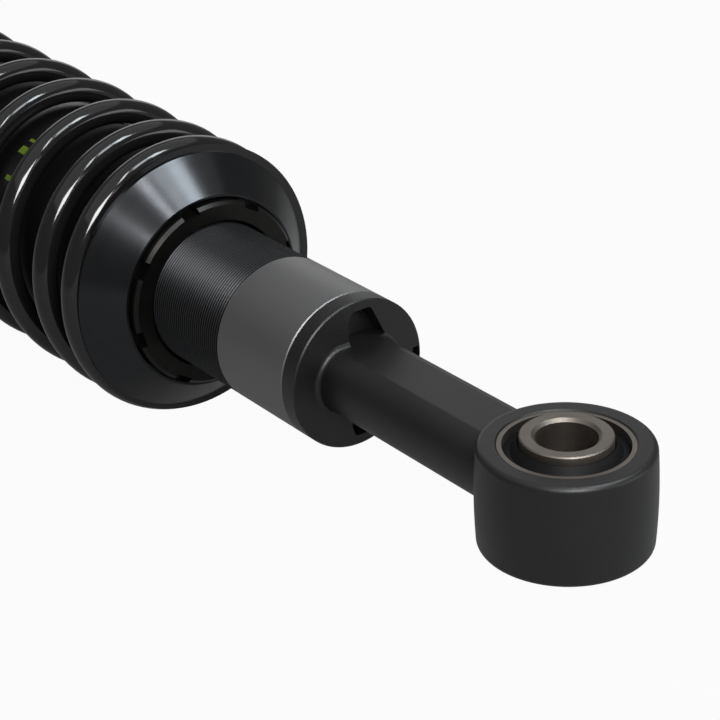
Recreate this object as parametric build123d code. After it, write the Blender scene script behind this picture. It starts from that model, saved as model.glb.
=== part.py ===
"""Coil-over shock absorber, 42 mm threaded body with a 36 mm bore, lying on its side.

The origin is the centre of the lower eye. The bolt of that eye runs along Z, and the
damper's own axis runs along X from the lower eye towards the rod and the upper eye.
Sizes are in millimetres, at full extension of the damper.
"""
import os
from math import cos, pi, radians, sin, sqrt

from build123d import *

os.makedirs("parts", exist_ok=True)

# Eyes, the same at both ends
eye_half_width = 13.3
eye_r = 21.8
eye_crown_drop = 0.5
eye_edge_round = 1.5
eye_mouth_chamfer = 0.4

# Spherical bearing in each eye
race_r = 16.4
race_half_width = 13.0
race_mouth_r = 15.25
race_seat_half_width = 6.8
ball_r = 13.5
ball_clearance = 0.05
ball_neck_r = 11.2
ball_half_width = 15.54
ball_edge_chamfer = 0.3
bolt_bore_r = 7.5
bolt_bore_chamfer = 0.8
seal_lip_gap = 0.15
seal_outer_depth = 2.3
seal_lip_rise = 0.6

# Shank between the lower eye and the end cap: flat above and below, round at the sides
shank_flat_half = 6.5
shank_half_height = 9.0
shank_half_width = 13.05
shank_edge_round = 1.5
shank_root_round = 1.4

# End cap with its spanner pockets, screwed into the tube
cap_face_x = 81.06
cap_thickness = 5.54
cap_edge_chamfer = 0.35
pocket_left_y = 2.6
pocket_right_y = -9.2
pocket_top_left_y = 1.6
pocket_top_right_y = -4.8
pocket_rim_width = 2.8
pocket_corner_round = 1.6
pocket_lead_in = 3.0
side_pocket_depth = 4.0
side_pocket_width = 2.1
side_pocket_rim_width = 0.6
side_pocket_top_z = 1.7
side_pocket_bottom_z = -2.6
plug_thread_height = 1.0
plug_thread_length = 10.0
plug_pilot_length = 7.4
plug_clearance = 0.05
fill_screw_r = 2.0
fill_screw_head_r = 3.2
fill_screw_head_height = 2.4
fill_screw_head_gap = 0.4
fill_screw_y = -3.0

# Damper tube
tube_r = 21.0
tube_wall = 3.0
band_length = 29.9
thread_pitch = 1.0
thread_depth = 0.55
thread_length = 88.0
tube_plain_step = 0.7
tube_edge_chamfer = 0.3
fit_gap = 0.02

# O-rings in grooves
o_ring_d = 2.62
o_ring_squeeze_gap = 0.02
groove_side_gap = 0.3

# Spring seat, adjuster ring and coil spring
seat_face_x = 160.75
seat_rim_width = 0.95
seat_rim_chamfer = 0.3
seat_r = 38.5
seat_cone_length = 9.4
seat_lip_width = 0.7
seat_mouth_gap = 0.7
seat_mouth_depth = 6.0
seat_bore_gap = 0.35
seat_pilot_length = 7.0
seat_pilot_chamfer = 1.5
spring_pilot_gap = 0.5
ring_wall = 6.35
ring_proud = 2.7
ring_thread_gap = 0.15
ring_back_gap = 0.05
ring_edge_chamfer = 0.9
ring_slot_count = 8
ring_slot_width = 5.2
ring_slot_depth = 1.7
ring_slot_length = 4.6
ring_slot_angle = 30.5
wire_d = 7.5
spring_mean_d = 74.6
spring_pitch = 25.9
spring_start_pitch = 13.2
spring_ramp_turns = 2.1
spring_open_turns = 5.35
spring_ground_turns = 0.9
spring_points_per_turn = 16

# Sleeve inside the spring, with its printed band
spring_sleeve_gap = 0.95
spring_sleeve_wall = 1.5
spring_sleeve_end_gap = 2.0
label_start_gap = 53.0
label_length = 26.0
label_thickness = 0.15

# Upper end: retainer, bump stop and eye fitting
retainer_thickness = 5.0
retainer_r = 40.0
retainer_pilot_length = 5.0
retainer_pilot_chamfer = 1.5
retainer_edge_chamfer = 1.0
retainer_pilot_wall = 4.0
neck_pilot_wall = 6.0
neck_pilot_gap = 0.1
neck_below_retainer = 1.0
collar_step = 5.0
collar_length = 4.0
upper_shank_r = 13.0
upper_shank_length = 20.0
upper_root_round = 4.0
bump_washer_thickness = 1.5
bump_washer_wall = 11.0
bump_stop_length = 20.0
bump_stop_wall = 8.5
bump_stop_waist = 2.0
bump_stop_rod_gap = 0.1

# Rod and stroke
rod_r = 7.0
stroke = 80.0
stroke_end_gap = 0.3
rod_top_stud_step = 1.0
rod_top_stud_length = 24.0
rod_piston_stud_step = 3.0
rod_running_gap = 0.04

# Head of the tube: dust cap, retaining ring, guide, bush, seal and wiper
dust_cap_thickness = 2.0
dust_cap_pilot_length = 2.6
head_ring_width = 2.0
head_ring_bite = 0.9
head_ring_end_distance = 3.0
head_ring_reach = 1.7
head_ring_opening = 6.0
guide_length = 23.0
guide_gap = 0.05
guide_nose_length = 5.0
guide_nose_step = 4.5
bush_wall = 1.2
bush_length = 12.0
bush_inset = 1.5
rod_seal_wall = 5.0
rod_seal_length = 7.0
wiper_wall = 3.0

# Piston assembly on the rod
cushion_length = 13.5
cushion_wall = 4.5
top_out_gap = 0.4
washer_thickness = 2.0
washer_wall = 7.8
shim_thickness = 0.3
shim_rim_gap = 3.0
shim_step = 1.8
shim_count = 4
piston_length = 16.0
piston_rim_gap = 0.25
piston_face_recess = 1.0
piston_hub_wall = 4.0
piston_rim_width = 1.6
port_count = 6
port_r = 1.8
band_width = 9.0
band_thickness = 1.0
band_running_gap = 0.04
band_split = 1.0
nut_across_flats = 13.0
nut_height = 7.0
stud_beyond_nut = 1.0

# Floating piston between the gas and the oil
separator_length = 14.0
separator_wall = 4.0
separator_gap = 0.05
separator_clearance = 3.0

# Radii that follow from the sizes above
tube_bore_r = tube_r - tube_wall
tube_plain_r = tube_r - tube_plain_step
plug_thread_r = tube_bore_r + plug_thread_height
pocket_top_z = tube_r - pocket_rim_width
fill_screw_z = -(shank_half_height + fill_screw_head_r + fill_screw_head_gap)
ring_r = tube_r + ring_thread_gap + ring_wall
seat_mouth_r = ring_r + seat_mouth_gap
seat_front_r = seat_mouth_r + seat_lip_width
spring_inner_r = spring_mean_d / 2 - wire_d / 2
spring_sleeve_r = spring_inner_r - spring_sleeve_gap
spring_sleeve_bore_r = spring_sleeve_r - spring_sleeve_wall
rod_piston_stud_r = rod_r - rod_piston_stud_step
rod_top_stud_r = rod_r - rod_top_stud_step
neck_pilot_r = rod_top_stud_r + neck_pilot_wall
collar_r = neck_pilot_r + collar_step
bump_washer_r = rod_top_stud_r + bump_washer_wall
bump_stop_r = rod_r + bump_stop_wall
head_ring_inner_r = tube_bore_r - head_ring_reach
guide_nose_r = tube_bore_r - guide_nose_step
rod_seal_r = rod_r + rod_seal_wall
wiper_r = rod_r + wiper_wall
cushion_r = rod_r + cushion_wall
washer_r = rod_piston_stud_r + washer_wall
shim_largest_r = tube_bore_r - shim_rim_gap
piston_hub_r = rod_piston_stud_r + piston_hub_wall
port_circle_r = (piston_hub_r + shim_largest_r) / 2

# Places along the axis that follow from the sizes above
tube_start_x = cap_face_x + cap_thickness
band_end_x = tube_start_x + band_length
thread_end_x = band_end_x + thread_length
plug_thread_end_x = tube_start_x + plug_thread_length
plug_end_x = plug_thread_end_x + plug_pilot_length
seat_rim_x = seat_face_x - seat_rim_width
seat_front_x = seat_rim_x - seat_cone_length
seat_floor_x = seat_front_x + seat_mouth_depth
ring_front_x = seat_front_x - ring_proud
ring_back_x = seat_floor_x - ring_back_gap
spring_ramp_length = spring_ramp_turns * (spring_start_pitch + spring_pitch) / 2
spring_length = wire_d + 2 * spring_ramp_length + spring_open_turns * spring_pitch
retainer_face_x = seat_face_x + spring_length
retainer_back_x = retainer_face_x + retainer_thickness
retainer_pilot_x = retainer_face_x - retainer_pilot_length
spring_sleeve_end_x = retainer_pilot_x - stroke - spring_sleeve_end_gap
label_x = seat_face_x + label_start_gap
neck_end_x = retainer_face_x - neck_below_retainer
rod_shoulder_x = neck_end_x - bump_washer_thickness
bump_end_x = rod_shoulder_x - bump_stop_length
dust_cap_top_x = bump_end_x - stroke - stroke_end_gap
tube_end_x = dust_cap_top_x - dust_cap_thickness
head_ring_x = tube_end_x - head_ring_end_distance - head_ring_width
guide_end_x = head_ring_x
guide_face_x = guide_end_x - guide_length
cushion_end_x = guide_face_x - top_out_gap
stud_shoulder_x = cushion_end_x - cushion_length
upper_washer_x = stud_shoulder_x - washer_thickness
shim_stack = shim_count * shim_thickness
piston_end_x = upper_washer_x - shim_stack
piston_start_x = piston_end_x - piston_length
lower_washer_x = piston_start_x - shim_stack - washer_thickness
nut_x = lower_washer_x - nut_height
stud_end_x = nut_x - stud_beyond_nut
separator_ratio = (rod_r / tube_bore_r) ** 2
separator_end_x = stud_end_x - stroke * (1 - separator_ratio) - separator_clearance
separator_x = separator_end_x - separator_length
collar_end_x = retainer_back_x + collar_length
upper_eye_x = collar_end_x + upper_shank_length + sqrt(eye_r**2 - upper_shank_r**2)
groove_floor_r = tube_bore_r - o_ring_d - 2 * o_ring_squeeze_gap
groove_width = o_ring_d + groove_side_gap


def turned(points):
    """A piece turned about the damper's axis, from the (x, radius) corners of its section."""
    return revolve(make_face(Polyline(*points, close=True)), Axis.X)


def tube_piece(x1, x2, r_in, r_out):
    """A plain ring or tube from x1 to x2 on the damper's axis."""
    return turned([(x1, r_in), (x2, r_in), (x2, r_out), (x1, r_out)])


def turned_about_bolt(points, eye_x):
    """A piece turned about the bolt of the eye at eye_x, from its (radius, z) corners."""
    section = Plane.XZ * make_face(Polyline(*points, close=True))
    return Pos(eye_x, 0, 0) * revolve(section, Axis.Z)


def o_ring(x):
    """An O-ring centred at x, in a groove that opens towards the tube's bore."""
    centre_r = tube_bore_r - o_ring_squeeze_gap - o_ring_d / 2
    return revolve(Pos(x, centre_r) * Circle(o_ring_d / 2), Axis.X)


def groove(x, reach_r):
    """The cut for an O-ring centred at x in a piece whose outer radius is reach_r."""
    return tube_piece(x - groove_width / 2, x + groove_width / 2, groove_floor_r, reach_r + 1)


def eye_barrel():
    """The barrel of an eye, crowned at its side and rounded into its two flat faces."""
    edge_r = eye_r - eye_crown_drop
    side = ThreePointArc((edge_r, -eye_half_width), (eye_r, 0), (edge_r, eye_half_width))
    rest = Polyline(
        (edge_r, eye_half_width), (0, eye_half_width), (0, -eye_half_width), (edge_r, -eye_half_width)
    )
    section = make_face([side, rest])
    corners = section.vertices().group_by(Axis.X)[-1]
    section = fillet(corners, eye_edge_round)
    return revolve(Plane.XZ * section, Axis.Z)


def eye_bore():
    """The bore that holds the bearing, with its chamfered mouths."""
    mouth_z = eye_half_width - eye_mouth_chamfer
    mouth_r = race_r + eye_mouth_chamfer
    beyond = eye_half_width + 1
    return turned_about_bolt(
        [
            (0, -beyond),
            (mouth_r, -beyond),
            (mouth_r, -eye_half_width),
            (race_r, -mouth_z),
            (race_r, mouth_z),
            (mouth_r, eye_half_width),
            (mouth_r, beyond),
            (0, beyond),
        ],
        0,
    )


def shank_section():
    """The shank's section, flat above and below with a round side left and right."""
    return fillet(sharp_shank_section().vertices(), shank_edge_round)


def sharp_shank_section():
    """The shank's section before its four edges are rounded."""
    top_left = (shank_flat_half, shank_half_height)
    top_right = (-shank_flat_half, shank_half_height)
    low_left = (shank_flat_half, -shank_half_height)
    low_right = (-shank_flat_half, -shank_half_height)
    return make_face(
        [
            Line(top_right, top_left),
            ThreePointArc(top_left, (shank_half_width, 0), low_left),
            Line(low_left, low_right),
            ThreePointArc(low_right, (-shank_half_width, 0), top_right),
        ]
    )


def cap_pocket(side):
    """A spanner pocket sunk from the cap's face to the end of the tube: side 1 above, -1 below."""
    corners = [
        (pocket_left_y, shank_half_height),
        (pocket_left_y, (shank_half_height + 2 * pocket_top_z) / 3),
        (pocket_top_left_y, pocket_top_z),
        (pocket_top_right_y, pocket_top_z),
        (pocket_right_y, shank_half_height),
    ]
    outline = make_face(Polyline(*[(y, side * z) for y, z in corners], close=True))
    outer = [v for v in outline.vertices() if side * v.Y > shank_half_height + 0.01]
    section = Plane.YZ * fillet(outer, pocket_corner_round)
    reach = cap_thickness + pocket_lead_in
    return Pos(tube_start_x - reach, 0, 0) * extrude(section, reach, dir=(1, 0, 0))


def side_pocket():
    """The small pocket in the cap's face, close inside the rim at its side."""
    height = side_pocket_top_z - side_pocket_bottom_z
    middle_z = (side_pocket_top_z + side_pocket_bottom_z) / 2
    outer_y = -(tube_r - side_pocket_rim_width)
    cutter = Box(2 * side_pocket_depth, side_pocket_width, height, align=(Align.CENTER, Align.MIN, Align.CENTER))
    return Pos(cap_face_x, outer_y, middle_z) * cutter


def make_lower_eye_fitting():
    """The forging: eye, shank and end cap, with the plug that screws into the tube."""
    shank_start = sqrt(race_r**2 - shank_flat_half**2)
    shank_length = cap_face_x + cap_thickness / 2 - shank_start
    shank = Pos(shank_start, 0, 0) * extrude(Plane.YZ * shank_section(), shank_length)
    cap = turned(
        [
            (cap_face_x, 0),
            (cap_face_x, tube_r - cap_edge_chamfer),
            (cap_face_x + cap_edge_chamfer, tube_r),
            (tube_start_x - tube_edge_chamfer, tube_r),
            (tube_start_x, tube_r - tube_edge_chamfer),
            (tube_start_x, plug_thread_r - plug_clearance),
            (plug_thread_end_x, plug_thread_r - plug_clearance),
            (plug_thread_end_x, tube_bore_r - plug_clearance),
            (plug_end_x, tube_bore_r - plug_clearance),
            (plug_end_x, 0),
        ]
    )
    blank = eye_barrel() + shank + cap
    roots = [e for e in blank.edges() if is_shank_root(e)]
    blank = fillet(roots, shank_root_round)
    hole_length = 2 * (plug_end_x - cap_face_x)
    screw_hole = Pos(cap_face_x - 1, fill_screw_y, fill_screw_z) * along_x(
        fill_screw_r + fit_gap, hole_length
    )
    groove_x = (plug_thread_end_x + plug_end_x) / 2
    cuts = [
        eye_bore(),
        cap_pocket(1),
        cap_pocket(-1),
        side_pocket(),
        screw_hole,
        groove(groove_x, tube_bore_r),
    ]
    return blank - cuts


def is_shank_root(edge):
    """True for an edge where the shank runs into the barrel or into the cap's face."""
    box = edge.bounding_box()
    at_cap = abs(box.min.X - cap_face_x) < 0.01 and abs(box.max.X - cap_face_x) < 0.01
    in_shank = box.max.Y < shank_half_width + 0.1 and box.min.Y > -shank_half_width - 0.1
    at_barrel = shank_flat_half < box.min.X < box.max.X < eye_r + 0.1
    within = box.max.Z < shank_half_height + 0.1 and box.min.Z > -shank_half_height - 0.1
    return in_shank and within and (at_cap or at_barrel)


def along_x(radius, length):
    """A cylinder that starts at the origin and runs along +X."""
    return extrude(Plane.YZ * Circle(radius), length)


def make_gas_fill_screw():
    """The screw that closes the gas filling hole, its head in the lower pocket."""
    head_x = tube_start_x - fill_screw_head_height
    head = Pos(head_x, 0, 0) * along_x(fill_screw_head_r, fill_screw_head_height)
    shank = Pos(tube_start_x, 0, 0) * along_x(fill_screw_r, plug_end_x - tube_start_x)
    socket = Pos(head_x, 0, 0) * extrude(Plane.YZ * RegularPolygon(1.5, 6), fill_screw_head_height / 2)
    return Pos(0, fill_screw_y, fill_screw_z) * (head + shank - socket)


def make_race(eye_x):
    """The outer ring of an eye's bearing: a spherical seat with an open mouth for each seal."""
    body = turned_about_bolt(
        [
            (0, -race_half_width),
            (race_r, -race_half_width),
            (race_r, race_half_width),
            (0, race_half_width),
        ],
        eye_x,
    )
    seat = Pos(eye_x, 0, 0) * Sphere(ball_r + ball_clearance)
    mouth = Cylinder(race_mouth_r, race_half_width - race_seat_half_width)
    mouth_z = (race_half_width + race_seat_half_width) / 2
    return body - [seat, Pos(eye_x, 0, mouth_z) * mouth, Pos(eye_x, 0, -mouth_z) * mouth]


def make_ball(eye_x):
    """The inner ring: a ball with a neck on each side, bored for the bolt."""
    neck = chamfer(
        Cylinder(ball_neck_r, 2 * ball_half_width).edges().filter_by(GeomType.CIRCLE), ball_edge_chamfer
    )
    zone = Cylinder(2 * ball_r, 2 * sqrt(ball_r**2 - ball_neck_r**2))
    ring = neck + (Sphere(ball_r) & zone) - Cylinder(bolt_bore_r, 2 * ball_half_width)
    mouths = [e for e in ring.edges().filter_by(GeomType.CIRCLE) if abs(e.radius - bolt_bore_r) < 0.01]
    return Pos(eye_x, 0, 0) * chamfer(mouths, bolt_bore_chamfer)


def make_seals(eye_x):
    """The two rubber seals of a bearing, one in each mouth of its outer ring."""
    return Compound([make_seal(eye_x, 1), make_seal(eye_x, -1)])


def make_seal(eye_x, side):
    """A dished seal whose lip stands round the ball's neck: side 1 above, -1 below."""
    lip_r = ball_neck_r + seal_lip_gap
    low = race_seat_half_width + fit_gap
    outer_r = race_mouth_r - fit_gap
    top = race_half_width - seal_outer_depth
    corners = [
        (ball_r, low),
        (outer_r, low),
        (outer_r, top),
        ((lip_r + outer_r) / 2, top + seal_lip_rise),
        (lip_r + 0.4, race_half_width + seal_lip_rise),
        (lip_r, race_half_width),
        (lip_r, race_half_width - seal_outer_depth),
    ]
    return turned_about_bolt([(r, side * z) for r, z in corners], eye_x)


def thread_points():
    """The outer edge of the threaded stretch, one V groove for each pitch."""
    points = []
    for turn in range(int(thread_length / thread_pitch)):
        start = band_end_x + turn * thread_pitch
        points.append((start + 0.12 * thread_pitch, tube_r))
        points.append((start + 0.56 * thread_pitch, tube_r - thread_depth))
        points.append((start + thread_pitch, tube_r))
    return points


def make_tube():
    """The damper tube: plain end band, thread for the spring seat, and a plainer upper part."""
    outside = turned(
        [(tube_start_x, 0), (tube_start_x, tube_r - tube_edge_chamfer)]
        + [(tube_start_x + tube_edge_chamfer, tube_r), (band_end_x, tube_r)]
        + thread_points()
        + [(thread_end_x, tube_plain_r), (tube_end_x - tube_edge_chamfer, tube_plain_r)]
        + [(tube_end_x, tube_plain_r - tube_edge_chamfer), (tube_end_x, 0)]
    )
    bore = along_x(tube_bore_r, tube_end_x - tube_start_x)
    counterbore = along_x(plug_thread_r, plug_thread_length)
    ring_groove = tube_piece(
        head_ring_x, head_ring_x + head_ring_width, tube_bore_r - 1, tube_bore_r + head_ring_bite
    )
    return outside - [Pos(tube_start_x, 0, 0) * bore, Pos(tube_start_x, 0, 0) * counterbore, ring_groove]


def make_floating_piston():
    """The cup-shaped piston that parts the gas from the oil."""
    outer = tube_bore_r - separator_gap
    cup = turned(
        [
            (separator_x, outer - separator_wall),
            (separator_x, outer),
            (separator_end_x, outer),
            (separator_end_x, 0),
            (separator_end_x - separator_wall, 0),
            (separator_end_x - separator_wall, outer - separator_wall),
        ]
    )
    return cup - groove((separator_x + separator_end_x) / 2, outer)


def make_piston():
    """The main piston, with a land for each shim stack, six oil ports and a band groove."""
    outer = tube_bore_r - piston_rim_gap
    land_r = shim_largest_r - piston_rim_width / 2
    body = turned(
        [
            (piston_start_x, rod_piston_stud_r + fit_gap),
            (piston_start_x, outer),
            (piston_end_x, outer),
            (piston_end_x, rod_piston_stud_r + fit_gap),
        ]
    )
    band_groove = tube_piece(
        band_middle() - band_width / 2 - fit_gap,
        band_middle() + band_width / 2 + fit_gap,
        tube_bore_r - band_running_gap - band_thickness - fit_gap,
        outer + 1,
    )
    recess = tube_piece(piston_start_x, piston_start_x + piston_face_recess, piston_hub_r, land_r)
    far_recess = Pos(piston_length - piston_face_recess, 0, 0) * recess
    ports = [
        Rot(X=360 / port_count * k) * Pos(piston_start_x, port_circle_r, 0) * along_x(port_r, piston_length)
        for k in range(port_count)
    ]
    return body - [band_groove, recess, far_recess] - ports


def band_middle():
    """The middle of the main piston's length."""
    return (piston_start_x + piston_end_x) / 2


def make_piston_band():
    """The split wear band that runs on the tube's bore."""
    outer = tube_bore_r - band_running_gap
    ring = tube_piece(
        band_middle() - band_width / 2, band_middle() + band_width / 2, outer - band_thickness, outer
    )
    split = Pos(band_middle(), 0, -outer) * Box(2 * band_width, band_split, 4 * band_thickness)
    return ring - split


def make_shims(face_x, direction):
    """A stack of thin steel discs on one face of the piston, largest against the piston."""
    discs = []
    for k in range(shim_count):
        near = face_x + direction * k * shim_thickness
        far = near + direction * shim_thickness
        radius = shim_largest_r - k * shim_step
        discs.append(tube_piece(min(near, far), max(near, far), rod_piston_stud_r + fit_gap, radius))
    return Compound(discs)


def make_washers():
    """The two thick washers that back the shim stacks."""
    inner = rod_piston_stud_r + fit_gap
    return Compound(
        [
            tube_piece(x, x + washer_thickness, inner, washer_r)
            for x in (lower_washer_x, upper_washer_x)
        ]
    )


def make_nut():
    """The hexagon nut that clamps the piston to the rod."""
    hexagon = RegularPolygon(nut_across_flats / 2, 6, major_radius=False)
    nut = Pos(nut_x, 0, 0) * extrude(Plane.YZ * hexagon, nut_height)
    return nut - Pos(nut_x, 0, 0) * along_x(rod_piston_stud_r + fit_gap, nut_height)


def make_rod():
    """The ground rod, stepped down at each end for the piston and for the upper eye."""
    stud_top_x = rod_shoulder_x + rod_top_stud_length
    return turned(
        [
            (stud_end_x, 0),
            (stud_end_x, rod_piston_stud_r),
            (stud_shoulder_x, rod_piston_stud_r),
            (stud_shoulder_x, rod_r),
            (rod_shoulder_x, rod_r),
            (rod_shoulder_x, rod_top_stud_r),
            (stud_top_x, rod_top_stud_r),
            (stud_top_x, 0),
        ]
    )


def make_cushion():
    """The rubber cushion that meets the guide when the damper is pulled fully out."""
    waist = cushion_r - 1.2
    middle = (stud_shoulder_x + cushion_end_x) / 2
    inner = rod_r + bump_stop_rod_gap
    return turned(
        [
            (stud_shoulder_x, inner),
            (stud_shoulder_x, cushion_r),
            (middle, waist),
            (cushion_end_x, cushion_r),
            (cushion_end_x, inner),
        ]
    )


def make_guide():
    """The head that carries the bush and the oil seal, held in the tube by a ring."""
    outer = tube_bore_r - guide_gap
    bush_r = rod_r + rod_running_gap + bush_wall
    nose_x = guide_face_x + guide_nose_length
    bush_end_x = guide_face_x + bush_inset + bush_length
    seal_x = guide_end_x - rod_seal_length
    body = turned(
        [
            (guide_face_x, bush_r),
            (guide_face_x, guide_nose_r),
            (nose_x, outer),
            (guide_end_x, outer),
            (guide_end_x, rod_seal_r),
            (seal_x, rod_seal_r),
            (seal_x, bush_r + bush_wall),
            (bush_end_x, bush_r + bush_wall),
            (bush_end_x, bush_r),
        ]
    )
    return body - groove(guide_groove_x(), outer)


def guide_groove_x():
    """The middle of the O-ring groove on the guide."""
    return guide_face_x + guide_nose_length + groove_width


def make_bush():
    """The plain bearing bush that the rod slides in."""
    inner = rod_r + rod_running_gap
    start = guide_face_x + bush_inset
    return tube_piece(start, start + bush_length, inner, inner + bush_wall)


def make_rod_seal():
    """The oil seal: a rubber ring with its lip on the rod."""
    inner = rod_r + rod_running_gap
    start = guide_end_x - rod_seal_length
    outer = rod_seal_r - fit_gap
    return turned(
        [
            (start, inner + 1.6),
            (start, outer),
            (guide_end_x, outer),
            (guide_end_x, inner),
            (start + 1.8, inner),
        ]
    )


def make_head_ring():
    """The wire ring in the tube's groove that holds the guide."""
    ring = tube_piece(
        head_ring_x + fit_gap,
        head_ring_x + head_ring_width - fit_gap,
        head_ring_inner_r,
        tube_bore_r + head_ring_bite - fit_gap,
    )
    opening = Box(2 * head_ring_width, head_ring_opening, 4 * head_ring_reach)
    return ring - Pos(head_ring_x + head_ring_width / 2, 0, -tube_bore_r) * opening


def make_dust_cap():
    """The cap pressed into the end of the tube, with the seat for the wiper."""
    pilot_x = tube_end_x - dust_cap_pilot_length
    pilot_r = tube_bore_r - fit_gap
    return turned(
        [
            (pilot_x, wiper_r),
            (pilot_x, pilot_r),
            (tube_end_x, pilot_r),
            (tube_end_x, tube_plain_r),
            (dust_cap_top_x - 0.5, tube_plain_r),
            (dust_cap_top_x, tube_plain_r - 0.5),
            (dust_cap_top_x, wiper_r),
        ]
    )


def make_wiper():
    """The scraper that keeps dirt off the oil seal."""
    inner = rod_r + rod_running_gap
    start = tube_end_x - dust_cap_pilot_length
    return turned(
        [
            (start, inner + 1.2),
            (start, wiper_r - fit_gap),
            (dust_cap_top_x, wiper_r - fit_gap),
            (dust_cap_top_x, inner),
            (dust_cap_top_x - 1.2, inner),
        ]
    )


def make_adjuster_ring():
    """The threaded ring under the spring seat, with slots for a hook spanner."""
    bore_r = tube_r + ring_thread_gap
    body = turned(
        [
            (ring_front_x, bore_r + ring_edge_chamfer),
            (ring_front_x, ring_r - ring_edge_chamfer),
            (ring_front_x + ring_edge_chamfer, ring_r),
            (ring_back_x, ring_r),
            (ring_back_x, bore_r),
            (ring_front_x + ring_edge_chamfer, bore_r),
        ]
    )
    cutter = Box(
        ring_slot_length,
        2 * ring_slot_depth,
        ring_slot_width,
        align=(Align.MIN, Align.CENTER, Align.CENTER),
    )
    slots = [
        Rot(X=ring_slot_angle + 360 / ring_slot_count * k) * Pos(ring_front_x, ring_r, 0) * cutter
        for k in range(ring_slot_count)
    ]
    return body - slots


def make_spring_seat():
    """The turned cone that carries the spring, with a mouth for the adjuster ring."""
    pilot_r = spring_sleeve_bore_r - fit_gap
    pilot_end = seat_face_x + seat_pilot_length
    bore_r = tube_r + seat_bore_gap
    return turned(
        [
            (seat_front_x, seat_mouth_r),
            (seat_front_x, seat_front_r),
            (seat_rim_x, seat_r - seat_rim_chamfer),
            (seat_rim_x + seat_rim_chamfer, seat_r),
            (seat_face_x, seat_r),
            (seat_face_x, pilot_r),
            (pilot_end - seat_pilot_chamfer, pilot_r),
            (pilot_end, pilot_r - seat_pilot_chamfer),
            (pilot_end, bore_r),
            (seat_floor_x, bore_r),
            (seat_floor_x, seat_mouth_r),
        ]
    )


def make_spring_sleeve():
    """The sleeve inside the spring, which stands on the seat round its pilot."""
    return tube_piece(seat_face_x, spring_sleeve_end_x, spring_sleeve_bore_r, spring_sleeve_r)


def make_label():
    """The printed band round the sleeve."""
    inner = spring_sleeve_r + fit_gap
    return tube_piece(label_x, label_x + label_length, inner, inner + label_thickness)


def coil_rise(turns):
    """How far the wire has climbed after this many turns from where the closed coil opens."""
    quickening = (spring_pitch - spring_start_pitch) / spring_ramp_turns
    if turns < 0:
        return wire_d * turns
    if turns < spring_ramp_turns:
        return spring_start_pitch * turns + quickening * turns**2 / 2
    return spring_ramp_length + spring_pitch * (turns - spring_ramp_turns)


def coil_point(turns):
    """The wire's centre, this many turns from the middle of the spring."""
    half_turns = spring_ramp_turns + spring_open_turns / 2
    climb = coil_rise(half_turns) - coil_rise(half_turns - abs(turns))
    middle_x = seat_face_x + spring_length / 2
    x = middle_x + (climb if turns > 0 else -climb)
    angle = 2 * pi * (turns + half_turns)
    return (x, spring_mean_d / 2 * cos(angle), spring_mean_d / 2 * sin(angle))


def make_spring():
    """The coil spring: closed end coils ground flat, and open coils between them."""
    turns_each_way = spring_ramp_turns + spring_open_turns / 2 + spring_ground_turns
    steps = int(spring_points_per_turn * turns_each_way)
    path = Spline(*[coil_point(turns_each_way * k / steps) for k in range(-steps, steps + 1)])
    wire_end = Plane(origin=path @ 0, z_dir=path % 0) * Circle(wire_d / 2)
    coil = sweep(wire_end, path=path, is_frenet=True)
    grinding = [
        Pos(seat_face_x - 2 * wire_d, 0, 0) * along_x(spring_mean_d, 2 * wire_d),
        Pos(retainer_face_x, 0, 0) * along_x(spring_mean_d, 2 * wire_d),
    ]
    return coil - grinding


def make_retainer():
    """The dished washer that the spring pushes against, under the upper eye."""
    pilot_r = spring_inner_r - spring_pilot_gap
    inner = neck_pilot_r + neck_pilot_gap
    return turned(
        [
            (retainer_pilot_x, pilot_r - retainer_pilot_wall),
            (retainer_pilot_x, pilot_r - retainer_pilot_chamfer),
            (retainer_pilot_x + retainer_pilot_chamfer, pilot_r),
            (retainer_face_x, pilot_r),
            (retainer_face_x, retainer_r),
            (retainer_back_x - retainer_edge_chamfer, retainer_r),
            (retainer_back_x, retainer_r - retainer_edge_chamfer),
            (retainer_back_x, inner),
            (retainer_face_x, inner),
            (retainer_face_x, pilot_r - retainer_pilot_wall),
        ]
    )


def make_bump_washer():
    """The steel washer between the rod's shoulder and the upper eye."""
    return tube_piece(rod_shoulder_x, neck_end_x, rod_top_stud_r + fit_gap, bump_washer_r)


def make_bump_stop():
    """The foam bump stop on the rod, waisted twice."""
    inner = rod_r + bump_stop_rod_gap
    quarter = bump_stop_length / 4
    points = [(bump_end_x, inner), (bump_end_x, bump_stop_r - 2 * bump_stop_waist)]
    for k in range(1, 5):
        radius = bump_stop_r - (bump_stop_waist if k % 2 == 0 and k < 4 else 0)
        points.append((bump_end_x + k * quarter, radius))
    return turned(points + [(rod_shoulder_x, inner)])


def make_upper_eye_fitting():
    """The upper eye: barrel, neck and the collar that the spring retainer bears on."""
    neck_start_x = upper_eye_x - sqrt(race_r**2 - upper_shank_r**2)
    neck = turned(
        [
            (neck_end_x, 0),
            (neck_end_x, neck_pilot_r),
            (retainer_back_x, neck_pilot_r),
            (retainer_back_x, collar_r),
            (collar_end_x, collar_r),
            (collar_end_x, upper_shank_r),
            (neck_start_x, upper_shank_r),
            (neck_start_x, 0),
        ]
    )
    blank = Pos(upper_eye_x, 0, 0) * eye_barrel() + neck
    roots = [e for e in blank.edges() if is_neck_root(e)]
    blank = fillet(roots, upper_root_round / 2)
    stud_hole = Pos(neck_end_x, 0, 0) * along_x(rod_top_stud_r + fit_gap, rod_top_stud_length + 2)
    return blank - [Pos(upper_eye_x, 0, 0) * eye_bore(), stud_hole]


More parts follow.
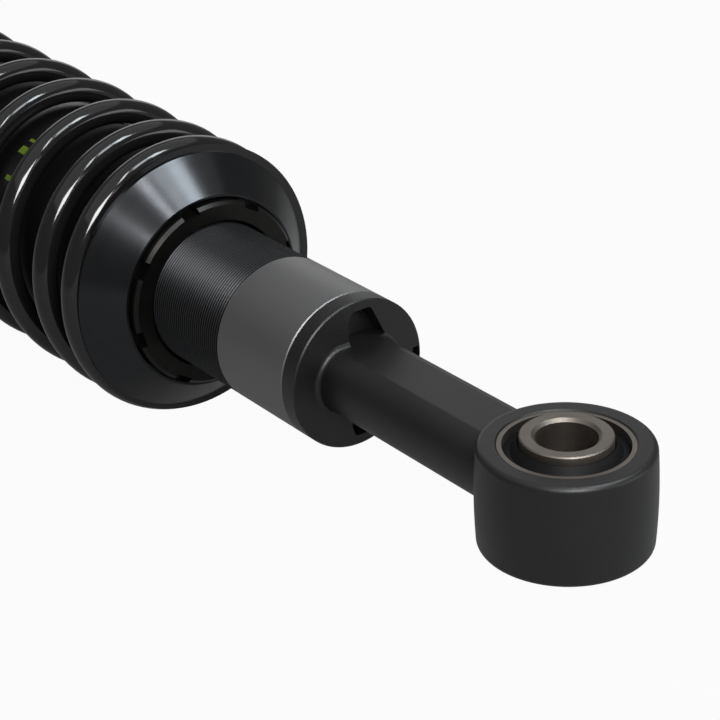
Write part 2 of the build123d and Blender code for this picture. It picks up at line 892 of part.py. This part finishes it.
def is_neck_root(edge):
    """True for an edge where the upper neck runs into the collar or into the barrel."""
    box = edge.bounding_box()
    at_collar = abs(box.min.X - collar_end_x) < 0.01 and abs(box.max.Y - upper_shank_r) < 0.01
    in_neck = box.max.Y < upper_shank_r + 0.1 and box.min.Y > -upper_shank_r - 0.1
    at_barrel = upper_eye_x - eye_r - 0.1 < box.min.X and box.max.X < upper_eye_x - upper_shank_r / 2
    return at_collar or (in_neck and at_barrel)


pieces = {
    "lower_eye_fitting": make_lower_eye_fitting(),
    "gas_fill_screw": make_gas_fill_screw(),
    "end_cap_o_ring": o_ring((plug_thread_end_x + plug_end_x) / 2),
    "damper_tube": make_tube(),
    "floating_piston": make_floating_piston(),
    "floating_piston_o_ring": o_ring((separator_x + separator_end_x) / 2),
    "main_piston": make_piston(),
    "piston_band": make_piston_band(),
    "compression_shims": make_shims(piston_start_x, -1),
    "rebound_shims": make_shims(piston_end_x, 1),
    "shim_washers": make_washers(),
    "piston_nut": make_nut(),
    "piston_rod": make_rod(),
    "top_out_cushion": make_cushion(),
    "rod_guide": make_guide(),
    "rod_guide_o_ring": o_ring(guide_groove_x()),
    "rod_guide_bush": make_bush(),
    "rod_seal": make_rod_seal(),
    "head_retaining_ring": make_head_ring(),
    "dust_cap": make_dust_cap(),
    "rod_wiper": make_wiper(),
    "adjuster_ring": make_adjuster_ring(),
    "spring_seat": make_spring_seat(),
    "coil_spring": make_spring(),
    "spring_sleeve": make_spring_sleeve(),
    "sleeve_label": make_label(),
    "spring_retainer": make_retainer(),
    "bump_stop_washer": make_bump_washer(),
    "bump_stop": make_bump_stop(),
    "upper_eye_fitting": make_upper_eye_fitting(),
}
for end, eye_x in (("lower", 0.0), ("upper", upper_eye_x)):
    pieces[end + "_bearing_race"] = make_race(eye_x)
    pieces[end + "_bearing_ball"] = make_ball(eye_x)
    pieces[end + "_bearing_seals"] = make_seals(eye_x)

for node, shape in pieces.items():
    export_step(shape, "parts/" + node + ".step")
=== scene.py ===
from math import atan2, pi, radians

import bmesh
import bpy
from mathutils import Euler, Matrix, Vector


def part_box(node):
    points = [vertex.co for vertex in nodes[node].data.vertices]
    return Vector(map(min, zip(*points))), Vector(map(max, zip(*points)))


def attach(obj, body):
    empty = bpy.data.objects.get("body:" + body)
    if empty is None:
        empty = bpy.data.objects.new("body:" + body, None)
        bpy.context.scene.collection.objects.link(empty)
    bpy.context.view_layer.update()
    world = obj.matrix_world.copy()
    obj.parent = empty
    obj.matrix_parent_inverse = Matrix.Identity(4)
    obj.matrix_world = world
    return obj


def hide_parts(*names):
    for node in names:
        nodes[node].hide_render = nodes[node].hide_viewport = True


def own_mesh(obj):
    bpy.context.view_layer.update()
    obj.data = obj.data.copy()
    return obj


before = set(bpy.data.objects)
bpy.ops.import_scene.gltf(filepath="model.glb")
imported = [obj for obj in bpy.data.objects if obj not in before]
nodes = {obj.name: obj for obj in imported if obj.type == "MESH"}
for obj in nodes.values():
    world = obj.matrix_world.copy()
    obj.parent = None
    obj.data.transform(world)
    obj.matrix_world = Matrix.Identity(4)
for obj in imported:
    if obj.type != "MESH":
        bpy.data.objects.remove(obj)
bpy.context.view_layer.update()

# The camera stands a little above the damper, off its lower end, and looks along it towards the
# spring, which runs out of the picture. The lens is a short telephoto.
camera_data = bpy.data.cameras.new("camera")
camera_data.sensor_width = 36.0
camera_data.lens = 105.3
camera_place = Vector((-0.31788, 0.29117, 0.25231))
camera_right = Vector((-0.60394, -0.79628, -0.0344))
camera_up = Vector((0.33948, -0.29605, 0.89281))
camera_back = Vector((-0.72111, 0.52753, 0.44912))
camera_turn = Matrix((camera_right, camera_up, camera_back)).transposed().to_4x4()
camera = bpy.data.objects.new("camera", camera_data)
bpy.context.scene.collection.objects.link(camera)
camera.matrix_world = Matrix.Translation(camera_place) @ camera_turn
bpy.context.scene.camera = camera
bpy.context.scene.view_settings.view_transform = "Standard"


# The studio lights: a large panel overhead, low ones behind the damper and on its right, a window above
# the camera that draws the white streaks on the spring, with a faint one and a small warm lamp near it,
# and three bluish windows high on the right that light the cone of the spring seat.
def window(name, aim, azimuth, elevation, distance, width, height, radiance, colour=(1.0, 1.0, 1.0)):
    """A rectangular light, placed by its direction from the point that it is turned towards."""
    lamp = bpy.data.lights.new(name, "AREA")
    lamp.shape = "RECTANGLE"
    lamp.size = width
    lamp.size_y = height
    lamp.energy = radiance * pi * width * height
    lamp.color = colour
    towards_it = Euler((0.0, -radians(elevation), radians(azimuth))).to_matrix()
    outward = towards_it @ Vector((1.0, 0.0, 0.0))
    stand = bpy.data.objects.new(name, lamp)
    stand.location = Vector(aim) + distance * outward
    stand.rotation_euler = outward.to_track_quat("Z", "Y").to_euler()
    stand.visible_camera = False
    bpy.context.scene.collection.objects.link(stand)


window(
    "overhead_panel", aim=(0.1, 0.0, 0.0), azimuth=0.0, elevation=89.0, distance=1.1,
    width=2.4, height=1.8, radiance=0.5,
)
window(
    "streak_window", aim=(0.18, 0.02, 0.03), azimuth=158.0, elevation=31.0, distance=1.0,
    width=0.4, height=0.3, radiance=22.0,
)
window(
    "left_seat_window", aim=(0.155, 0.01, 0.03), azimuth=173.0, elevation=58.0, distance=0.9,
    width=0.08, height=0.25, radiance=18.0, colour=(0.93, 0.97, 1.0),
)
window(
    "middle_seat_window", aim=(0.155, 0.0, 0.03), azimuth=-164.0, elevation=60.0, distance=0.9,
    width=0.16, height=0.25, radiance=9.0, colour=(0.9, 0.96, 1.0),
)
window(
    "right_seat_window", aim=(0.155, 0.0, 0.03), azimuth=-141.0, elevation=57.0, distance=0.9,
    width=0.17, height=0.25, radiance=17.0, colour=(0.86, 0.95, 1.0),
)
window(
    "soft_window", aim=(0.155, 0.02, 0.03), azimuth=139.0, elevation=39.0, distance=0.9,
    width=0.16, height=0.2, radiance=0.9, colour=(0.92, 0.96, 1.0),
)
window(
    "warm_lamp", aim=(0.18, 0.02, 0.03), azimuth=-178.0, elevation=27.0, distance=1.0,
    width=0.1, height=0.05, radiance=8.0, colour=(1.0, 0.72, 0.6),
)
window(
    "rear_panel", aim=(0.15, 0.0, 0.0), azimuth=-30.0, elevation=15.0, distance=2.0,
    width=1.7, height=0.9, radiance=0.8,
)
window(
    "front_panel", aim=(0.08, 0.0, 0.0), azimuth=-144.0, elevation=5.0, distance=1.3,
    width=1.0, height=0.5, radiance=2.4,
)


# The table top, just under the coils, and the room. Both are white to the camera and show faintly in
# glossy pieces, but the damper is lit as over a grey table, which keeps its shadow.
class Signal:
    """A value or colour that varies over a surface. Arithmetic on it adds the nodes for it."""

    def __init__(self, tree, socket):
        self.tree = tree
        self.socket = socket

    def node(self, kind, settings=None, inputs=None, output=0):
        """The output of a new node with these settings and inputs."""
        made = self.tree.nodes.new(kind)
        for name, value in (settings or {}).items():
            setattr(made, name, value)
        for name, value in (inputs or {}).items():
            if isinstance(value, Signal):
                self.tree.links.new(value.socket, made.inputs[name])
            else:
                made.inputs[name].default_value = value
        return Signal(self.tree, made.outputs[output])

    def maths(self, operation, other=0.0):
        """A maths node on this value and the other one."""
        return self.node("ShaderNodeMath", {"operation": operation}, {0: self, 1: other})

    def __add__(self, other):
        return self.maths("ADD", other)

    def __mul__(self, other):
        return self.maths("MULTIPLY", other)

    def __gt__(self, other):
        return self.maths("GREATER_THAN", other)

    def __lt__(self, other):
        return self.maths("LESS_THAN", other)

    __radd__ = __add__
    __rmul__ = __mul__

    def along(self, axis):
        """One of a vector's three parts."""
        return self.node("ShaderNodeSeparateXYZ", inputs={"Vector": self}, output=axis)

    def noise(self, size, detail=2.0):
        """Cloudy noise around 0.5, with spots of this size in metres."""
        sockets = {"Vector": self, "Scale": 1 / size, "Detail": detail, "Roughness": 0.5}
        return self.node("ShaderNodeTexNoise", inputs=sockets)

    def lines(self, size):
        """Noise around 0.5 that varies only along this one value, as tool marks do."""
        sockets = {"W": self, "Scale": 1 / size, "Detail": 3.0, "Roughness": 0.6}
        return self.node("ShaderNodeTexNoise", {"noise_dimensions": "1D"}, sockets)

    def between(self, low, high):
        """This value's way from low to high, from 0 to 1."""
        sockets = {"Value": self, "From Min": low, "From Max": high}
        return self.node("ShaderNodeMapRange", {"clamp": True}, sockets)

    def colours(self, first, second):
        """The first colour where this value is 0, the second where it is 1."""
        first, second = (c if isinstance(c, Signal) else (*c, 1.0) for c in (first, second))
        sockets = {"Factor": self, 6: first, 7: second}
        return self.node("ShaderNodeMix", {"data_type": "RGBA"}, sockets, output=2)

    def bump(self, depth, strength):
        """The surface normal where this value raises the surface by up to depth, in metres."""
        sockets = {"Height": self, "Distance": depth, "Strength": strength}
        return self.node("ShaderNodeBump", inputs=sockets)


class Finish:
    """A finish of the object: its material, its shader, and the place on the piece."""

    def __init__(self, name, **fixed):
        self.material = bpy.data.materials.new(name)
        self.material.use_nodes = True
        self.tree = self.material.node_tree
        self.shader = self.tree.nodes["Principled BSDF"]
        where = self.tree.nodes.new("ShaderNodeTexCoord")
        self.place = Signal(self.tree, where.outputs["Object"])
        self.set(**fixed)

    def set(self, **sockets):
        """Sets the shader's sockets, by their names with _ for a space."""
        for name, value in sockets.items():
            socket = self.shader.inputs[name.replace("_", " ")]
            if isinstance(value, Signal):
                self.tree.links.new(value.socket, socket)
            else:
                socket.default_value = value

    def radius(self):
        """The distance from the damper's own axis, which runs along X."""
        y = self.place.along("Y")
        z = self.place.along("Z")
        return (y * y + z * z).maths("SQRT")

    def turn(self):
        """The angle about the damper's own axis, in radians, 0 towards +Y and growing towards +Z."""
        return self.place.along("Z").maths("ARCTAN2", self.place.along("Y"))

    def lay(self):
        """A value that grows along every turned face, so that its lines run round the axis."""
        return self.place.along("X") + self.radius()

    def wear(self, *objects):
        """Puts this finish on these objects, in place of any other."""
        for thing in objects:
            thing.data.materials.clear()
            thing.data.materials.append(self.material)


def light_path(tree, question):
    """1 for the rays of this kind, 0 for all others."""
    return Signal(tree, tree.nodes.new("ShaderNodeLightPath").outputs[question])


table_grey = (0.22, 0.22, 0.22, 1.0)
table_white_to_camera = 0.955
table_white_in_gloss = 0.15
table_white_through = 0.5
table_size = 6.0
table_height = -0.04115
table = Finish("white_table", Base_Color=table_grey, Roughness=0.9, Specular_IOR_Level=0.1)
to_camera = light_path(table.tree, "Is Camera Ray")
in_gloss = light_path(table.tree, "Is Glossy Ray")
through = light_path(table.tree, "Is Transmission Ray")
gloss_and_glass = in_gloss * table_white_in_gloss + through * table_white_through
share = to_camera * table_white_to_camera + gloss_and_glass
white = share.node("ShaderNodeEmission", inputs={"Color": (1.0, 1.0, 1.0, 1.0), "Strength": 1.0})
lit = Signal(table.tree, table.shader.outputs["BSDF"])
seen = share.node("ShaderNodeMixShader", inputs={0: share.maths("MINIMUM", 1.0), 1: lit, 2: white})
table.tree.links.new(seen.socket, table.tree.nodes["Material Output"].inputs["Surface"])

table_shape = bmesh.new()
bmesh.ops.create_grid(table_shape, x_segments=1, y_segments=1, size=table_size)
bmesh.ops.translate(table_shape, verts=table_shape.verts, vec=(0.0, 0.0, table_height))
table_mesh = bpy.data.meshes.new("table_top")
table_shape.to_mesh(table_mesh)
table_shape.free()
table_top = bpy.data.objects.new("table_top", table_mesh)
bpy.context.scene.collection.objects.link(table_top)
table.wear(table_top)

room_light = 0.12
room_light_in_gloss = 0.08
world = bpy.data.worlds.new("studio")
bpy.context.scene.world = world
world.use_nodes = True
backdrop = world.node_tree.nodes["Background"]
backdrop.inputs["Color"].default_value = (1.0, 1.0, 1.0, 1.0)
white_behind = light_path(world.node_tree, "Is Camera Ray") * (1.0 - room_light)
shine = light_path(world.node_tree, "Is Glossy Ray") * room_light_in_gloss
brightness = (white_behind + shine + room_light).maths("MINIMUM", 1.0)
world.node_tree.links.new(brightness.socket, backdrop.inputs["Strength"])

# The two eye fittings: each an eye with its shank, and on the lower one the tube's end cap as well,
# forged in one from aluminium, machined in the eye and on the cap's rim, then coated in satin black.
forging = Finish("satin_black_coat", Metallic=0.0, Specular_IOR_Level=0.45)
grain = forging.place.noise(0.0006, 3.0)
cloud = forging.place.noise(0.02)
forging.set(
    Base_Color=cloud.colours((0.0027, 0.0027, 0.0028), (0.0045, 0.0045, 0.0046)),
    Roughness=0.33 + 0.1 * cloud + 0.1 * grain,
    Normal=grain.bump(0.00007, 0.5),
)
forging.wear(nodes["lower_eye_fitting"], nodes["upper_eye_fitting"])

# Spherical bearings, one pressed into each eye: a ground outer ring, and a ball that is bored for the
# bolt. Their steel has gone a little brown.
ground_steel = Finish("ground_steel", Metallic=1.0)
scratch = ground_steel.place.noise(0.0004, 4.0)
stain = ground_steel.place.noise(0.004, 3.0)
ground_steel.set(
    Base_Color=stain.colours((0.155, 0.135, 0.115), (0.235, 0.212, 0.188)),
    Roughness=0.34 + 0.2 * scratch,
    Normal=scratch.bump(0.00001, 0.3),
)
for end in ("lower", "upper"):
    ground_steel.wear(nodes[end + "_bearing_race"], nodes[end + "_bearing_ball"])

# Rubber: the dished seals of the bearings, and the O-rings, seal, wiper and cushion of the damper, all
# moulded in the same dull black.
soft_rubber = Finish("black_rubber", Metallic=0.0, Specular_IOR_Level=0.12)
skin = soft_rubber.place.noise(0.0005)
soft_rubber.set(
    Base_Color=skin.colours((0.003, 0.003, 0.0033), (0.0065, 0.0065, 0.007)),
    Roughness=0.5 + 0.15 * skin,
    Normal=skin.bump(0.00003, 0.3),
)
for name in (
    "lower_bearing_seals", "upper_bearing_seals", "end_cap_o_ring", "floating_piston_o_ring",
    "rod_guide_o_ring", "rod_seal", "rod_wiper", "top_out_cushion",
):
    soft_rubber.wear(nodes[name])

# Damper tube: aluminium, turned, threaded for the adjuster ring and anodised black. Its thread is a
# real helix, cut off square where the plain band and the plain upper part of the tube begin.
MM = 0.001
tube_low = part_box("damper_tube")[0][0] / MM
tube_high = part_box("damper_tube")[1][0] / MM
tube_r = 21.0
bore_r = 18.0
cap_thread_r = 19.0
cap_thread_length = 10.0
upper_tube_r = 20.3
rim_chamfer = 0.3
band_length = 29.9
band_sides = 256
upper_tube_sides = 192
thread_pitch = 1.0
thread_turns = 88
thread_depth = 0.55
thread_crest = 0.1
thread_root_start = 0.52
thread_root_end = 0.58
thread_steps = 96
spare_turns = 2
joined_within = 0.000003
flat_within = 1e-7
rim_within = 0.001
bore_within = 0.01
smooth_under = radians(32)

thread_low = tube_low + band_length
thread_high = thread_low + thread_turns * thread_pitch
cap_thread_x = tube_low + cap_thread_length
root_r = tube_r - thread_depth


def spun(corners, sides):
    """A closed ring turned about the damper's axis, from the (x, radius) corners of its section."""
    shape = bmesh.new()
    rim = [shape.verts.new((x * MM, radius * MM, 0.0)) for x, radius in corners]
    outline = [shape.edges.new(pair) for pair in zip(rim, rim[1:] + rim[:1])]
    bmesh.ops.spin(
        shape, geom=rim + outline, cent=(0, 0, 0), axis=(1, 0, 0), angle=2 * pi, steps=sides,
        use_merge=True,
    )
    bmesh.ops.recalc_face_normals(shape, faces=shape.faces)
    return shape


def everything(shape):
    """All the vertices, edges and faces of a shape."""
    return shape.verts[:] + shape.edges[:] + shape.faces[:]


def more_turns(shape, pitch, wanted):
    """Doubles one turn of a helix along the axis until it has as many turns as wanted."""
    made = 1
    while made < wanted:
        copied = bmesh.ops.duplicate(shape, geom=everything(shape))["geom"]
        corners = [g for g in copied if isinstance(g, bmesh.types.BMVert)]
        bmesh.ops.translate(shape, verts=corners, vec=(made * pitch * MM, 0.0, 0.0))
        made *= 2
    bmesh.ops.remove_doubles(shape, verts=shape.verts, dist=joined_within)


def cut_square(shape, x, kept_side):
    """Cuts a shape off across the axis at x and keeps its side 1 above or -1 below. Gives the cut."""
    return bmesh.ops.bisect_plane(
        shape, geom=everything(shape), dist=flat_within, plane_co=(x * MM, 0, 0),
        plane_no=(-kept_side, 0, 0), clear_outer=True,
    )["geom_cut"]


def open_rims(shape, is_on_rim):
    """The open edges of a shape whose two ends are both on the rim."""
    return [e for e in shape.edges if e.is_boundary and all(is_on_rim(v.co) for v in e.verts)]


def settle(name, shapes, finish, body, replaced):
    """Makes one object of these shapes, with its finish, on its body, in place of a CAD node."""
    whole = bmesh.new()
    for shape in shapes:
        part = bpy.data.meshes.new(name + "_part")
        shape.to_mesh(part)
        shape.free()
        whole.from_mesh(part)
        bpy.data.meshes.remove(part)
    for edge in whole.edges:
        edge.smooth = len(edge.link_faces) == 2 and edge.calc_face_angle() < smooth_under
    for face in whole.faces:
        face.smooth = True
    mesh = bpy.data.meshes.new(name)
    whole.to_mesh(mesh)
    whole.free()
    piece = bpy.data.objects.new(name, mesh)
    bpy.context.scene.collection.objects.link(piece)
    finish.wear(piece)
    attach(piece, body)
    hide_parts(replaced)
    return piece


plain_band = spun(
    [
        (tube_low, cap_thread_r),
        (tube_low, tube_r - rim_chamfer),
        (tube_low + rim_chamfer, tube_r),
        (thread_low, tube_r),
        (thread_low, bore_r),
        (cap_thread_x, bore_r),
        (cap_thread_x, cap_thread_r),
    ],
    band_sides,
)
upper_tube = spun(
    [
        (thread_high, bore_r),
        (thread_high, upper_tube_r),
        (tube_high - rim_chamfer, upper_tube_r),
        (tube_high, upper_tube_r - rim_chamfer),
        (tube_high, bore_r),
    ],
    upper_tube_sides,
)

thread = bmesh.new()
thread_start = thread_low - spare_turns * thread_pitch
thread_profile = [
    (0.0, tube_r),
    (thread_crest, tube_r),
    (thread_root_start, root_r),
    (thread_root_end, root_r),
    (thread_pitch, tube_r),
]
rim = [thread.verts.new(((thread_start + x) * MM, radius * MM, 0.0)) for x, radius in thread_profile]
outline = [thread.edges.new(pair) for pair in zip(rim, rim[1:])]
bmesh.ops.spin(
    thread, geom=rim + outline, cent=(0, 0, 0), axis=(1, 0, 0), angle=2 * pi, steps=thread_steps,
    dvec=(thread_pitch * MM / thread_steps, 0, 0), use_merge=False,
)
more_turns(thread, thread_pitch, thread_turns + 2 * spare_turns)
cut_square(thread, thread_low, 1)
cut_square(thread, thread_high, -1)
for cut_x in (thread_low, thread_high):
    outer_rim = open_rims(thread, lambda co: abs(co.x - cut_x * MM) < rim_within * MM)
    inward = bmesh.ops.extrude_edge_only(thread, edges=outer_rim)["geom"]
    for vert in (v for v in inward if isinstance(v, bmesh.types.BMVert)):
        shrink = bore_r * MM / vert.co.yz.length
        vert.co = (vert.co.x, vert.co.y * shrink, vert.co.z * shrink)
bore_rims = open_rims(thread, lambda co: co.yz.length < (bore_r + bore_within) * MM)
bmesh.ops.bridge_loops(thread, edges=bore_rims)
bmesh.ops.recalc_face_normals(thread, faces=thread.faces)

anodised = Finish("black_anodising", Metallic=0.85, Specular_IOR_Level=0.5)
band_end = 0.1165
groove_radius = 0.02072
crest_radius = 0.0209
tool_marks = anodised.lay().lines(0.00025)
speckle = anodised.place.noise(0.00022)
on_band = anodised.place.along("X") < band_end
# Painted shade: the thread is coloured by its distance from the axis, pure black down in its grooves and
# a little lighter on its crests, so that the grooves look shaded.
painted_groove_shade_fade = anodised.radius().between(groove_radius, crest_radius)
thread_colour_with_painted_groove_shade = painted_groove_shade_fade.colours((0.0, 0.0, 0.0), (0.026, 0.027, 0.029))
anodised.set(
    Base_Color=on_band.colours(thread_colour_with_painted_groove_shade, (0.16, 0.16, 0.162)),
    Roughness=0.28 + 0.1 * speckle + 0.08 * tool_marks + 0.08 * on_band,
    Normal=(tool_marks * 0.6 + speckle * 0.4).bump(0.00001, 0.35),
)
settle(
    "threaded_damper_tube", [plain_band, thread, upper_tube], anodised, "cylinder",
    "damper_tube",
)

# The sleeve inside the spring: moulded black plastic that stands on the seat and goes with it.
plastic = Finish("black_sleeve_plastic", Metallic=0.0, Specular_IOR_Level=0.08)
orange_peel = plastic.place.noise(0.0008, 3.0)
plastic.set(
    Base_Color=orange_peel.colours((0.0015, 0.0015, 0.0016), (0.003, 0.003, 0.0032)),
    Roughness=0.5 + 0.1 * orange_peel,
    Normal=orange_peel.bump(0.00001, 0.1),
)
plastic.wear(nodes["spring_sleeve"])

# The band printed round the sleeve: a thin dark film with three short lime bars, each given by where it
# lies along the damper, in metres, and round it, in radians.
lime_bars = (
    (0.2182, 0.2245, 0.94, 1.02),
    (0.2208, 0.2242, 1.085, 1.12),
    (0.2188, 0.2222, 0.66, 0.71),
)
film = Finish("printed_film", Metallic=0.0, Specular_IOR_Level=0.3)
film_x = film.place.along("X")
film_turn = film.turn()
ink = film.place.noise(0.0015)
on_bar = 0.0
for low_x, high_x, low_turn, high_turn in lime_bars:
    across = (film_x > low_x) * (film_x < high_x)
    on_bar = across * ((film_turn > low_turn) * (film_turn < high_turn)) + on_bar
film.set(
    Base_Color=on_bar.colours((0.002, 0.002, 0.002), (0.085, 0.13, 0.01)),
    Roughness=0.28 + 0.12 * ink,
)
film.wear(nodes["sleeve_label"])

# Adjuster ring: turned from aluminium and anodised a dull black. It screws along the tube's thread, and
# its eight slots take a hook spanner.
ring_finish = Finish("matt_black_anodising", Metallic=0.9)
ring_marks = ring_finish.lay().lines(0.00018)
ring_haze = ring_finish.place.noise(0.004, 3.0)
ring_finish.set(
    Base_Color=ring_haze.colours((0.013, 0.0128, 0.012), (0.022, 0.0215, 0.02)),
    Roughness=0.27 + 0.1 * ring_marks + 0.06 * ring_haze,
    Normal=ring_marks.bump(0.000006, 0.4),
)
ring_finish.wear(nodes["adjuster_ring"])

# Spring seat, a cone that the ring pushes along, with the retainer at the spring's other end and the cap
# on the tube: turned from aluminium with a fine feed and anodised a shinier black.
seat_finish = Finish("turned_black_anodising", Metallic=0.9)
seat_marks = seat_finish.lay().lines(0.00018)
broad_marks = seat_finish.lay().lines(0.004)
seat_haze = seat_finish.place.noise(0.006, 3.0)
seat_finish.set(
    Base_Color=seat_haze.colours((0.027, 0.028, 0.03), (0.035, 0.036, 0.038)),
    Roughness=0.12 + 0.08 * seat_marks + 0.06 * broad_marks,
    Normal=seat_marks.bump(0.000006, 0.4),
)
seat_finish.wear(nodes["spring_seat"], nodes["spring_retainer"], nodes["dust_cap"])

# Coil spring: hardened steel wire, coiled closer and closer towards its ends, ground flat on the seats
# and coated in gloss black.
spring_low, spring_high = (corner[0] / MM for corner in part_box("coil_spring"))
wire_r = 3.75
coil_r = 37.3
end_turns = 0.9
ramp_turns = 2.1
open_turns = 5.35
close_pitch = 7.5
start_pitch = 13.2
open_pitch = 25.9
steps_per_turn = 96
wire_sides = 36
turns_in_all = 2 * (end_turns + ramp_turns) + open_turns
middle_turn = turns_in_all / 2


def climb(turn):
    """How far the wire has climbed this many turns from its start, in mm from its closed end coil."""
    inward = turn - end_turns
    if inward < 0:
        return close_pitch * inward
    if inward < ramp_turns:
        return start_pitch * inward + (open_pitch - start_pitch) / ramp_turns * inward**2 / 2
    return ramp_turns * (start_pitch + open_pitch) / 2 + open_pitch * (inward - ramp_turns)


wire = bmesh.new()
section = bmesh.ops.create_circle(wire, segments=wire_sides, radius=wire_r * MM)["verts"]
bmesh.ops.translate(wire, verts=section, vec=(0.0, coil_r * MM, 0.0))
bmesh.ops.spin(
    wire, geom=everything(wire), cent=(0, 0, 0), axis=(1, 0, 0), angle=2 * pi, steps=steps_per_turn,
    dvec=(open_pitch * MM / steps_per_turn, 0, 0), use_merge=False,
)
more_turns(wire, open_pitch, turns_in_all)

# The even coil is cut to length, closed up towards both of its ends, and ground.
half_a_step = 0.5 / steps_per_turn
too_long = []
for vert in wire.verts:
    part_turn = atan2(vert.co.z, vert.co.y) / (2 * pi)
    turn = part_turn + round(vert.co.x / MM / open_pitch - part_turn)
    beyond = vert.co.x / MM - turn * open_pitch
    if turn > turns_in_all + half_a_step:
        too_long.append(vert)
    if turn < middle_turn:
        rise = climb(turn)
    else:
        rise = 2 * climb(middle_turn) - climb(turns_in_all - turn)
    vert.co.x = (spring_low + wire_r + rise + beyond) * MM
bmesh.ops.delete(wire, geom=too_long, context="VERTS")
start_place = Matrix.Rotation(-2 * pi * end_turns, 3, "X")
bmesh.ops.rotate(wire, verts=wire.verts, cent=(0, 0, 0), matrix=start_place)
bmesh.ops.holes_fill(wire, edges=[e for e in wire.edges if e.is_boundary], sides=wire_sides)
for cut_x, kept_side in ((spring_low, 1), (spring_high, -1)):
    ground = cut_square(wire, cut_x, kept_side)
    bmesh.ops.holes_fill(wire, edges=[g for g in ground if isinstance(g, bmesh.types.BMEdge)])
bmesh.ops.recalc_face_normals(wire, faces=wire.faces)

gloss_coat = Finish("gloss_black_coat", Metallic=0.0, Specular_IOR_Level=0.5)
waviness = gloss_coat.place.noise(0.0025)
dust = gloss_coat.place.noise(0.0006)
gloss_coat.set(
    Base_Color=(0.006, 0.006, 0.0064, 1.0),
    Roughness=0.05 + 0.06 * waviness + 0.04 * dust,
    Normal=waviness.bump(0.00003, 0.2),
)
spring = settle("gloss_black_spring", [wire], gloss_coat, "seat", "coil_spring")
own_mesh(spring)

# Bright steel, turned: the main piston with its shims, washers and nut, the ring that holds the rod
# guide, the gas filling screw and the washer above the bump stop.
bright_steel = Finish("bright_turned_steel", Metallic=1.0)
steel_lines = bright_steel.lay().lines(0.0002)
bright_steel.set(
    Base_Color=steel_lines.colours((0.5, 0.5, 0.49), (0.6, 0.6, 0.58)),
    Roughness=0.22 + 0.14 * steel_lines,
    Normal=steel_lines.bump(0.000008, 0.4),
)
for name in (
    "main_piston", "compression_shims", "rebound_shims", "shim_washers", "piston_nut",
    "head_retaining_ring", "gas_fill_screw", "bump_stop_washer",
):
    bright_steel.wear(nodes[name])

# Piston rod: a steel bar, ground and hard chromed. It carries the main piston at its inner end and the
# upper eye fitting at its outer one.
chromed = Finish("chromed_rod", Metallic=1.0)
polish = chromed.lay().lines(0.0003)
chromed.set(Base_Color=(0.7, 0.7, 0.72, 1.0), Roughness=0.06 + 0.06 * polish)
chromed.wear(nodes["piston_rod"])

# Floating piston and rod guide: turned from aluminium and left bare. The one keeps the gas and the oil
# apart, and the other closes the tube round the rod.
bare_aluminium = Finish("turned_aluminium", Metallic=1.0)
alu_lines = bare_aluminium.lay().lines(0.0003)
bare_aluminium.set(
    Base_Color=alu_lines.colours((0.6, 0.6, 0.6), (0.72, 0.72, 0.72)),
    Roughness=0.26 + 0.14 * alu_lines,
)
bare_aluminium.wear(nodes["floating_piston"], nodes["rod_guide"])

# The rod guide's bush: a plain ring of bearing bronze, pressed into the guide and bored to the rod's
# size.
bronze = Finish("bush_bronze", Metallic=1.0)
bronze_lines = bronze.lay().lines(0.0003)
bronze.set(
    Base_Color=bronze_lines.colours((0.55, 0.38, 0.16), (0.66, 0.48, 0.22)),
    Roughness=0.3 + 0.1 * bronze_lines,
)
bronze.wear(nodes["rod_guide_bush"])

# The main piston's wear band: a ring of brown filled plastic, fitted round the piston so that it slides
# on the tube's bore.
filled_plastic = Finish("filled_plastic", Metallic=0.0)
flecks = filled_plastic.place.noise(0.0003)
filled_plastic.set(
    Base_Color=flecks.colours((0.1, 0.06, 0.04), (0.2, 0.12, 0.07)),
    Roughness=0.45 + 0.1 * flecks,
)
filled_plastic.wear(nodes["piston_band"])

# Bump stop: moulded from pale foam with open cells and pushed over the rod, under its washer. It takes
# the last of the damper's stroke.
foam = Finish("cellular_foam", Metallic=0.0, Specular_IOR_Level=0.2)
cells = foam.place.noise(0.0006, 3.0)
foam.set(
    Base_Color=cells.colours((0.35, 0.27, 0.12), (0.6, 0.48, 0.24)),
    Roughness=0.75 + 0.1 * cells,
    Normal=cells.bump(0.0001, 0.6),
)
foam.wear(nodes["bump_stop"])
